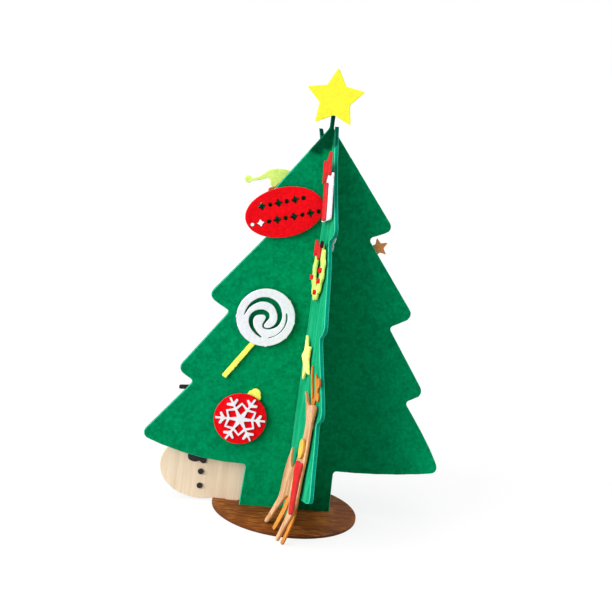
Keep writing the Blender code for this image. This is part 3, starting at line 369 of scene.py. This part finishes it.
def painted_peak_shadow(point):
    """How far the painted shadow below the star darkens the felt at a point: 1 at the peak, 0 away from it.
    """
    limit = PEAK_SHADOW_HEIGHT + (point.x - PEAK_SHADOW_MIDDLE) ** 2 / PEAK_SHADOW_REACH
    for pitch, height in PEAK_SHADOW_WAVES:
        limit += height * noise.noise(Vector((point.x + 0.4 * point.y, point.y, 0.3 * point.z)) / pitch)
    rise = (point.z - limit) / PEAK_SHADOW_EDGE
    side = (PEAK_SHADOW_SIDE_START - point.x - 0.3 * max(0.0, point.y)) / PEAK_SHADOW_SIDE_EDGE
    return min(max(rise, 0.0), 1.0) * min(max(side, 0.0), 1.0)


def mark_places(mesh, sheet, holes, panel):
    """Marks where a sheet is scorched around its cut-outs, with painted shade there, and where a painted
    shadow darkens it at the peak.
    """
    scorched_and_shaded = mesh.attributes.new("scorched_and_shaded", "FLOAT", "POINT")
    dark = mesh.attributes.new("painted_peak_shadow", "FLOAT", "POINT")
    edge = np.concatenate(holes) if holes else np.array([(FAR_AWAY, FAR_AWAY)])
    values = []
    for vertex in mesh.vertices:
        distance = math.sqrt(float(((edge - np.array(sheet.flat(vertex.co))) ** 2).sum(1).min()))
        values.append(math.exp(-((distance / SCORCH_AND_SHADE_REACH) ** 2)))
    scorched_and_shaded.data.foreach_set("value", values)
    # Painted shadow below the star, on the panels only
    dark.data.foreach_set("value", [painted_peak_shadow(vertex.co) if panel else 0.0 for vertex in mesh.vertices])


# Colours of a ramp that gives a share
NONE = (0.0, 0.0, 0.0)
FULL = (1.0, 1.0, 1.0)

# Felt: sizes of its clouds, mottle, tangle, fibres and streaks, and their shares in its tone
CLOUD_SIZE = 9.0 * MM
MOTTLE_SIZE = 2.6 * MM
TANGLE_SIZE = 1.5 * MM
FIBRE_SIZE = 1.0 * MM
STREAK_SIZE = 7.0 * MM
CLOUD_SHARE = 0.22
MOTTLE_SHARE = 0.48
FIBRE_SHARE = 0.30
FELT_RELIEF = 0.35 * MM

# Wood: sizes of its bands, lines, pores, strokes and patches, and how long they are drawn along the grain
BAND_SIZE = 9.0 * MM
LINE_SIZE = 1.5 * MM
PORE_SIZE = 0.5 * MM
STROKE_SIZE = 1.6 * MM
PATCH_SIZE = 22.0 * MM
BAND_STRETCH = 0.035
PORE_STRETCH = 0.06
STROKE_STRETCH = 0.2
WOOD_RELIEF = 0.15 * MM

PAINT_SPECKLE_SIZE = 0.8 * MM
PAINT_RELIEF = 0.06 * MM
HOOK_PITCH = 0.9 * MM
HOOK_RELIEF = 0.3 * MM


class Shader:
    """A Principled material whose nodes are added one by one."""

    def __init__(self, name, roughness, specular, sheen=0.0, sheen_tint=(1.0, 1.0, 1.0)):
        self.material = bpy.data.materials.new(name)
        self.material.use_nodes = True
        self.tree = self.material.node_tree
        self.surface = self.tree.nodes["Principled BSDF"]
        self.surface.inputs["Roughness"].default_value = roughness
        self.surface.inputs["Specular IOR Level"].default_value = specular
        self.surface.inputs["Sheen Weight"].default_value = sheen
        self.surface.inputs["Sheen Roughness"].default_value = 0.45
        self.surface.inputs["Sheen Tint"].default_value = (*sheen_tint, 1.0)
        self.place = self.tree.nodes.new("ShaderNodeTexCoord").outputs["Object"]

    def link(self, source, target):
        self.tree.links.new(source, target)

    def math(self, operation, first, second):
        """The result of a sum or product of sockets or numbers."""
        node = self.tree.nodes.new("ShaderNodeMath")
        node.operation = operation
        for socket, value in zip(node.inputs, (first, second)):
            if isinstance(value, (int, float)):
                socket.default_value = value
            else:
                self.link(value, socket)
        return node.outputs[0]

    def stretched(self, scale, turn=(0.0, 0.0, 0.0)):
        """Object coordinates, turned and then scaled along each axis."""
        node = self.tree.nodes.new("ShaderNodeMapping")
        node.inputs["Scale"].default_value = scale
        node.inputs["Rotation"].default_value = turn
        self.link(self.place, node.inputs["Vector"])
        return node.outputs["Vector"]

    def noise(self, size, detail=2.0, vector=None, distortion=0.0, ridged=False):
        """Noise whose features have about the given size in metres."""
        node = self.tree.nodes.new("ShaderNodeTexNoise")
        if ridged:
            node.noise_type = "RIDGED_MULTIFRACTAL"
        node.inputs["Scale"].default_value = 1.0 / size
        node.inputs["Detail"].default_value = detail
        node.inputs["Distortion"].default_value = distortion
        self.link(vector or self.place, node.inputs["Vector"])
        return node.outputs["Fac"]

    def ramp(self, source, stops):
        """Colours along a value, from (position, colour) stops."""
        node = self.tree.nodes.new("ShaderNodeValToRGB")
        elements = node.color_ramp.elements
        for index, (position, color) in enumerate(stops):
            element = elements[index] if index < len(elements) else elements.new(position)
            element.position = position
            element.color = (*color, 1.0)
        self.link(source, node.inputs["Fac"])
        return node.outputs["Color"]

    def mix(self, share, first, second):
        """A mix of two colours by a share, each a socket or a colour."""
        node = self.tree.nodes.new("ShaderNodeMix")
        node.data_type = "RGBA"
        sockets = (node.inputs[0], node.inputs[6], node.inputs[7])
        for socket, value in zip(sockets, (share, first, second)):
            if isinstance(value, float):
                socket.default_value = value
            elif isinstance(value, tuple):
                socket.default_value = (*value, 1.0)
            else:
                self.link(value, socket)
        return node.outputs[2]

    def attribute(self, name):
        node = self.tree.nodes.new("ShaderNodeAttribute")
        node.attribute_name = name
        return node.outputs["Fac"]

    def bump(self, height, distance, strength=1.0):
        node = self.tree.nodes.new("ShaderNodeBump")
        node.inputs["Distance"].default_value = distance
        node.inputs["Strength"].default_value = strength
        self.link(height, node.inputs["Height"])
        self.link(node.outputs["Normal"], self.surface.inputs["Normal"])

    def color(self, socket):
        self.link(socket, self.surface.inputs["Base Color"])


def srgb(red, green, blue):
    """A colour given as the 0 to 255 values of a picture."""
    values = (red, green, blue)
    return tuple(((c / 255.0 + 0.055) / 1.055) ** 2.4 if c > 10 else c / 3294.6 for c in values)


def shade(color, factor, white=0.0):
    """A colour made lighter or darker, and mixed with a little white."""
    return tuple(min(1.0, c * factor * (1.0 - white) + white) for c in color)


def felt(
    name, color, edge_color, contrast=0.26, scorched_and_shaded=False, sheen=0.1, haze=None, painted_corner_highlight=None, streaks=None
):
    """Pressed felt: matted fibres, cloudy colour and a paler, fluffier cut edge.

    Its streaks, a colour and a share, run up and down it. Its painted corner highlight is a lighter colour
    painted where the rounded rim turns, standing for light caught on that corner.
    """
    shader = Shader(name, 0.95, 0.0, sheen=sheen, sheen_tint=haze or shade(color, 1.0, 0.02))
    clouds = shader.noise(CLOUD_SIZE, 2.0)
    mottle = shader.noise(MOTTLE_SIZE, 3.0)
    tangle = shader.noise(TANGLE_SIZE, 3.0, distortion=1.3, ridged=True)
    fibres_one = shader.noise(FIBRE_SIZE, 2.0, shader.stretched((1.0, 1.0, 0.22), (0.5, 0.3, 0.2)), 0.8)
    fibres_two = shader.noise(FIBRE_SIZE, 2.0, shader.stretched((0.22, 0.3, 1.0), (0.3, 0.6, 0.9)), 0.8)
    fibres = shader.math("MULTIPLY", shader.math("ADD", fibres_one, fibres_two), 0.5)
    total = shader.math("MULTIPLY", clouds, CLOUD_SHARE)
    total = shader.math("ADD", total, shader.math("MULTIPLY", mottle, MOTTLE_SHARE))
    total = shader.math("ADD", total, shader.math("MULTIPLY", fibres, FIBRE_SHARE))
    dark, pale = shade(color, 1.0 - contrast), shade(color, 1.0 + contrast)
    body = shader.ramp(total, [(0.40, dark), (0.5, color), (0.60, pale)])
    strands = shader.math("MULTIPLY", tangle, 0.12)
    body = shader.mix(strands, body, shade(color, 1.3, 0.02))
    if streaks:
        bands = shader.noise(STREAK_SIZE, 3.0, shader.stretched((1.0, 1.0, 0.2)), 0.3)
        bands = shader.ramp(bands, [(0.46, NONE), (0.58, FULL)])
        body = shader.mix(shader.math("MULTIPLY", bands, streaks[1]), body, streaks[0])
    rim = shader.ramp(fibres, [(0.35, shade(edge_color, 0.8)), (0.65, shade(edge_color, 1.15))])
    edge = shader.attribute("edge")
    # Painted highlight along the turn of the rounded rim
    if painted_corner_highlight:
        corner_highlight_band = shader.ramp(edge, [(0.1, NONE), (0.4, FULL), (1.0, NONE)])
        rim = shader.mix(corner_highlight_band, rim, painted_corner_highlight)
        edge = shader.math("MINIMUM", shader.math("MULTIPLY", edge, 3.0), 1.0)
    body = shader.mix(edge, body, rim)
    # Laser scorch around the cut-outs, partly painted shade in these recesses
    if scorched_and_shaded:
        body = shader.mix(shader.attribute("scorched_and_shaded"), body, srgb(*SCORCH_AND_SHADE_COLOR_VALUES))
    # Painted shadow: the felt is darkened at the peak, below the star
    body = shader.mix(shader.math("MULTIPLY", shader.attribute("painted_peak_shadow"), PEAK_SHADOW_DARKNESS), body, NONE)
    shader.color(body)
    height = shader.math("ADD", shader.math("MULTIPLY", fibres, 0.7), shader.math("MULTIPLY", tangle, 0.3))
    shader.bump(height, FELT_RELIEF, 0.8)
    return shader.material


def grain_stretch(along, share):
    """A noise's scale along each axis, for strokes that run along one of them."""
    return tuple(share if axis == along else 1.0 for axis in "xyz")


def grained(name, color, dark, edge_color, roughness, along, contrast=0.5, pale=1.12, flecks=None):
    """Wood whose grain runs along one axis, with paler and darker bands and a scorched edge.

    Its flecks, a colour and a share, are short paler strokes along the grain.
    """
    shader = Shader(name, roughness, 0.1)
    warped = shader.stretched(grain_stretch(along, BAND_STRETCH))
    bands = shader.noise(BAND_SIZE, 3.0, warped, 0.6)
    lines = shader.noise(LINE_SIZE, 3.0, warped, 0.3)
    pores = shader.noise(PORE_SIZE, 2.0, shader.stretched(grain_stretch(along, PORE_STRETCH)))
    total = shader.math("MULTIPLY", bands, 0.5)
    total = shader.math("ADD", total, shader.math("MULTIPLY", lines, 0.3))
    total = shader.math("ADD", total, shader.math("MULTIPLY", pores, 0.2))
    stops = [(0.5 - 0.14 / contrast * 0.5, dark), (0.5, color), (0.62, shade(color, pale))]
    body = shader.ramp(total, stops)
    if flecks:
        strokes = shader.noise(STROKE_SIZE, 3.0, shader.stretched(grain_stretch(along, STROKE_STRETCH)))
        patches = shader.math("MULTIPLY", shader.noise(PATCH_SIZE, 2.0), 0.4)
        strokes = shader.math("ADD", shader.math("MULTIPLY", strokes, 0.6), patches)
        strokes = shader.ramp(strokes, [(0.5, NONE), (0.62, FULL)])
        body = shader.mix(shader.math("MULTIPLY", strokes, flecks[1]), body, flecks[0])
    edge = shader.math("MULTIPLY", shader.attribute("edge"), 0.85)
    body = shader.mix(edge, body, edge_color)
    shader.color(body)
    shader.bump(total, WOOD_RELIEF, 0.5)
    return shader.material


def painted(name, color):
    """Matte paint on thin board."""
    shader = Shader(name, 0.6, 0.3)
    speckle = shader.noise(PAINT_SPECKLE_SIZE, 3.0)
    body = shader.ramp(speckle, [(0.35, shade(color, 0.8)), (0.65, shade(color, 1.2, 0.01))])
    edge = shader.math("MULTIPLY", shader.attribute("edge"), 0.5)
    shader.color(shader.mix(edge, body, shade(color, 1.2, 0.04)))
    shader.bump(speckle, PAINT_RELIEF, 0.5)
    return shader.material


def hooked(name, color):
    """The face of a hook pad: rows of tiny plastic hooks."""
    shader = Shader(name, 0.5, 0.4)
    hooks = shader.tree.nodes.new("ShaderNodeTexVoronoi")
    hooks.inputs["Scale"].default_value = 1.0 / HOOK_PITCH
    shader.link(shader.place, hooks.inputs["Vector"])
    distance = hooks.outputs["Distance"]
    shader.color(shader.ramp(distance, [(0.1, color), (0.7, shade(color, 0.6))]))
    shader.bump(distance, HOOK_RELIEF, 0.8)
    return shader.material


GREEN = srgb(0, 134, 84)
# Painted light: the same green felt drawn lighter for the cross panel, whose face takes the lamp
LIT_PANEL_GREEN = srgb(0, 139, 88)
GREEN_HAZE = srgb(70, 228, 190)
YELLOW = srgb(250, 244, 62)
PALE_YELLOW = srgb(250, 248, 110)
RED = srgb(232, 16, 26)
WHITE = srgb(236, 234, 246)
LIME = srgb(196, 226, 112)
PALE_LIME = srgb(216, 246, 128)
TAN = srgb(204, 164, 124)
ORANGE = srgb(206, 138, 62)
# Painted light: the brown felt drawn lighter for the brown star, which sits in shade
LIT_BROWN = srgb(226, 148, 92)
BROWN = srgb(184, 106, 58)
SKIN = srgb(246, 212, 184)
BLACK = srgb(26, 22, 24)

MATERIALS = {
    "green_felt": felt(
        "green_felt", GREEN, srgb(0, 136, 106), 0.24, sheen=0.3, haze=GREEN_HAZE, painted_corner_highlight=srgb(70, 200, 160)
    ),
    # Painted light: a lighter copy of the green felt for the cross panel, with a brighter painted corner
    # highlight
    "lit_streaked_green_felt": felt(
        "lit_streaked_green_felt", LIT_PANEL_GREEN, srgb(0, 132, 106), 0.24, sheen=0.32, haze=GREEN_HAZE,
        painted_corner_highlight=srgb(90, 215, 175), streaks=(srgb(60, 190, 140), 0.3),
    ),
    "yellow_felt": felt("yellow_felt", YELLOW, srgb(248, 240, 90), 0.07),
    "cream_yellow_felt": felt("cream_yellow_felt", srgb(246, 246, 138), srgb(240, 236, 120), 0.07),
    "pale_yellow_felt": felt("pale_yellow_felt", PALE_YELLOW, srgb(236, 224, 90), 0.07),
    "red_felt": felt("red_felt", RED, srgb(225, 40, 48), 0.14),
    "scorched_and_shaded_red_felt": felt("scorched_and_shaded_red_felt", RED, srgb(225, 40, 48), 0.14, scorched_and_shaded=True),
    "rose_red_felt": felt("rose_red_felt", srgb(198, 44, 44), srgb(200, 56, 56), 0.18),
    "white_felt": felt("white_felt", WHITE, srgb(232, 232, 240), 0.05),
    "lime_felt": felt("lime_felt", LIME, srgb(206, 232, 110), 0.10),
    "pale_lime_felt": felt("pale_lime_felt", PALE_LIME, srgb(222, 246, 140), 0.08),
    "tan_felt": felt("tan_felt", TAN, srgb(180, 122, 74), 0.14, streaks=(srgb(146, 90, 50), 0.6)),
    "orange_felt": felt("orange_felt", ORANGE, srgb(170, 92, 32), 0.15, streaks=(srgb(150, 80, 30), 0.4)),
    "gold_felt": felt("gold_felt", srgb(206, 176, 82), srgb(190, 136, 58), 0.15),
    # Painted light: a lighter copy of the brown felt, for the brown star in shade
    "lit_brown_felt": felt("lit_brown_felt", LIT_BROWN, srgb(206, 130, 78), 0.15),
    "brown_felt": felt("brown_felt", BROWN, srgb(160, 92, 50), 0.2),
    "skin_felt": felt("skin_felt", SKIN, srgb(236, 196, 164), 0.06),
    "black_felt": felt("black_felt", BLACK, srgb(40, 34, 36), 0.3),
    "black_board": painted("black_board", BLACK),
    "orange_board": painted("orange_board", ORANGE),
    "pale_wood": grained(
        "pale_wood", srgb(235, 214, 188), srgb(226, 200, 168), srgb(222, 190, 150), 0.6, "z", contrast=0.5
    ),
    "brown_wood": grained(
        "brown_wood", srgb(120, 62, 22), srgb(78, 36, 12), srgb(84, 43, 18), 0.6, "x",
        contrast=0.8, pale=1.35, flecks=(srgb(186, 116, 54), 0.65),
    ),
    "hook_pad": hooked("hook_pad", srgb(232, 232, 230)),
}

# What each node's material slot is drawn with, where it isn't the material of that name
SPECIAL_MATERIALS = {
    "cross_panel": "lit_streaked_green_felt", "sign_oval": "scorched_and_shaded_red_felt", "brown_star": "lit_brown_felt",
    "lollipop_stick": "pale_yellow_felt", "bauble_cap": "pale_yellow_felt", "elf_hat": "pale_lime_felt",
    "elf_pompom": "pale_lime_felt", "yellow_star": "cream_yellow_felt", "gift_bow": "rose_red_felt",
    "gift_ribbon": "rose_red_felt", "wreath_bow": "rose_red_felt", "reindeer_scarf": "rose_red_felt",
    "reindeer_bell": "gold_felt",
}
LEFT_FACING_BODIES = ("cross", "gift", "wreath", "yellow_star", "reindeer", "snowflake")
PANELS = ("main_panel", "cross_panel")
WOODEN = ("base_disc", "snowman_plate")
FLAKES = ("bauble_snowflake", "snowflake")
BOARD_SLOTS = ("black_board", "orange_board", "hook_pad")
NUBS = {"lollipop_disc": 5, "lollipop_stick": 4, "bauble_cap": 1, "bauble_disc": 1, "gift_box": 2}


def facing_of(body):
    """The directions of the sheets that a body is made of."""
    if body == "base":
        return FACING_UP
    return FACING_LEFT if body in LEFT_FACING_BODIES else FACING_FRONT


def dress():
    """A finished sheet for each flat node, riding on the node's body."""
    slots = {part["node"]: part["material_slot"] for part in frame["record"]["subparts"]}
    for body, nodes in frame["record"]["behaviour"]["bodies"].items():
        for node in nodes:
            slot = slots[node]
            piece = finished_sheet(
                node, facing_of(body), wood=node in WOODEN or slot in BOARD_SLOTS, panel=node in PANELS,
                fine=node in FLAKES, nubs=NUBS.get(node, 0),
            )
            piece.data.materials.append(MATERIALS[SPECIAL_MATERIALS.get(node, slot)])
            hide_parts(node)
            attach(piece, body)


# The elf's eyes and stitched smile: places and half sizes, seen from in front of its face
EYE_PLACES = ((-4.3 * MM, 3.7 * MM), (4.3 * MM, 3.7 * MM))
EYE_HALF_SIZES = (1.15 * MM, 1.35 * MM, 0.6 * MM)
SMILE_MIDDLE_UP = 1.2 * MM
SMILE_RADIUS = 5.6 * MM
SMILE_DEGREES = (215.0, 242.5, 270.0, 297.5, 325.0)
STITCH_HALF_SIZES = (1.05 * MM, 0.38 * MM, 0.3 * MM)
BEAD_SEGMENTS = 16
BEAD_RINGS = 10


def beads(name, spots, body, slot):
    """A piece made of rounded beads, each given by its middle and its three half axes."""
    data = bmesh.new()
    for middle, axes in spots:
        place = Matrix.Translation(middle) @ Matrix(axes).transposed().to_4x4()
        bmesh.ops.create_uvsphere(
            data, u_segments=BEAD_SEGMENTS, v_segments=BEAD_RINGS, radius=1.0, matrix=place
        )
    bmesh.ops.recalc_face_normals(data, faces=data.faces[:])
    mesh = bpy.data.meshes.new(name)
    data.to_mesh(mesh)
    data.free()
    mesh.shade_smooth()
    mesh.materials.append(MATERIALS[slot])
    piece = bpy.data.objects.new(name, mesh)
    bpy.context.scene.collection.objects.link(piece)
    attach(piece, body)


def add_elf_face():
    """Eyes and a smile sewn on the elf's face, which looks away from the front of the tree."""
    places = np.array([v.co[:] for v in frame["nodes"]["elf_face"].data.vertices])
    low, high = places.min(0), places.max(0)
    middle = Vector((0.5 * (low[0] + high[0]), high[1], 0.5 * (low[2] + high[2])))
    right, up, out = Vector((-1.0, 0.0, 0.0)), Vector((0.0, 0.0, 1.0)), Vector((0.0, 1.0, 0.0))
    wide, tall, proud = EYE_HALF_SIZES
    eyes = [(middle + right * x + up * z, (right * wide, up * tall, out * proud)) for x, z in EYE_PLACES]
    beads("elf_eyes", eyes, "elf", "black_felt")
    length, width, proud = STITCH_HALF_SIZES
    stitches = []
    for angle in (math.radians(a) for a in SMILE_DEGREES):
        ray = right * math.cos(angle) + up * math.sin(angle)
        along = up * math.cos(angle) - right * math.sin(angle)
        spot = middle + up * SMILE_MIDDLE_UP + ray * SMILE_RADIUS
        stitches.append((spot, (along * length, ray * width, out * proud)))
    beads("elf_smile", stitches, "elf", "brown_felt")


def add_camera():
    """The camera of the photograph's view."""
    data = bpy.data.cameras.new("view")
    camera = bpy.data.objects.new("view", data)
    bpy.context.scene.collection.objects.link(camera)
    flat = math.cos(CAMERA_ELEVATION)
    rise = math.sin(CAMERA_ELEVATION)
    back = Vector((math.sin(CAMERA_AZIMUTH) * flat, -math.cos(CAMERA_AZIMUTH) * flat, rise))
    camera.location = CAMERA_TARGET + back * CAMERA_DISTANCE
    camera.rotation_mode = "QUATERNION"
    camera.rotation_quaternion = (-back).to_track_quat("-Z", "Y") @ Quaternion((0.0, 0.0, 1.0), CAMERA_ROLL)
    data.sensor_width = SENSOR_WIDTH_MM
    data.lens = SENSOR_WIDTH_MM * CAMERA_DISTANCE_PX / IMAGE_SIZE
    data.shift_x = -CAMERA_OFFSET_PX[0] / IMAGE_SIZE
    data.shift_y = CAMERA_OFFSET_PX[1] / IMAGE_SIZE
    bpy.context.scene.camera = camera


def add_lamp(name, toward, softness, strength):
    """A distant soft lamp that shines from the given direction."""
    data = bpy.data.lights.new(name, "SUN")
    data.angle = math.radians(softness)
    data.energy = strength
    lamp = bpy.data.objects.new(name, data)
    lamp.rotation_euler = (-Vector(toward)).to_track_quat("-Z", "Y").to_euler()
    bpy.context.scene.collection.objects.link(lamp)


# Lamps: where each shines from, its softness in degrees and its strength
LAMPS = {
    "key": ((-1.8, -1.0, 0.6), 50.0, 4.05),
    "top": ((-0.35, -0.12, 1.0), 60.0, 2.0),
    "side": ((1.0, 0.25, 0.5), 24.0, 1.8),
}
FLOOR_HALF_SIZE = 60.0
FLOOR_COLOR = (0.95, 0.95, 0.95)
FLOOR_BOUNCE_COLOR = (0.6, 0.6, 0.6)
FLOOR_SEEN_SHARE = 0.78
FILL_STRENGTH = 0.12
WHITE_LIGHT = (1.0, 1.0, 1.0, 1.0)


def camera_or_glossy(tree):
    """1 where the camera, a mirror or glass looks, else 0."""
    path = tree.nodes.new("ShaderNodeLightPath")
    first = tree.nodes.new("ShaderNodeMath")
    first.operation = "MAXIMUM"
    tree.links.new(path.outputs["Is Camera Ray"], first.inputs[0])
    tree.links.new(path.outputs["Is Glossy Ray"], first.inputs[1])
    second = tree.nodes.new("ShaderNodeMath")
    second.operation = "MAXIMUM"
    tree.links.new(first.outputs[0], second.inputs[0])
    tree.links.new(path.outputs["Is Transmission Ray"], second.inputs[1])
    return second.outputs[0]


def add_stage():
    """A pale floor, an even grey fill light and a white background behind the floor."""
    mesh = bpy.data.meshes.new("floor")
    half = FLOOR_HALF_SIZE
    corners = [(-half, -half, 0.0), (half, -half, 0.0), (half, half, 0.0), (-half, half, 0.0)]
    mesh.from_pydata(corners, [], [(0, 1, 2, 3)])
    floor = bpy.data.objects.new("floor", mesh)
    bpy.context.scene.collection.objects.link(floor)
    shader = Shader("floor", 0.9, 0.0)
    looked_at = camera_or_glossy(shader.tree)
    shader.color(shader.mix(looked_at, FLOOR_BOUNCE_COLOR, FLOOR_COLOR))
    glow = shader.tree.nodes.new("ShaderNodeEmission")
    both = shader.tree.nodes.new("ShaderNodeMixShader")
    shader.link(shader.math("MULTIPLY", looked_at, FLOOR_SEEN_SHARE), both.inputs[0])
    shader.link(shader.surface.outputs[0], both.inputs[1])
    shader.link(glow.outputs[0], both.inputs[2])
    shader.link(both.outputs[0], shader.tree.nodes["Material Output"].inputs["Surface"])
    mesh.materials.append(shader.material)

    world = bpy.data.worlds.new("studio")
    bpy.context.scene.world = world
    world.use_nodes = True
    tree = world.node_tree
    fill = tree.nodes["Background"]
    fill.inputs["Color"].default_value = WHITE_LIGHT
    fill.inputs["Strength"].default_value = FILL_STRENGTH
    seen = tree.nodes.new("ShaderNodeBackground")
    seen.inputs["Color"].default_value = WHITE_LIGHT
    seen.inputs["Strength"].default_value = 1.0
    mix = tree.nodes.new("ShaderNodeMixShader")
    tree.links.new(camera_or_glossy(tree), mix.inputs[0])
    tree.links.new(fill.outputs[0], mix.inputs[1])
    tree.links.new(seen.outputs[0], mix.inputs[2])
    tree.links.new(mix.outputs[0], tree.nodes["World Output"].inputs["Surface"])


dress()
add_elf_face()
add_camera()
for lamp_name, lamp_values in LAMPS.items():
    add_lamp(lamp_name, *lamp_values)
add_stage()
bpy.context.scene.view_settings.view_transform = "Standard"
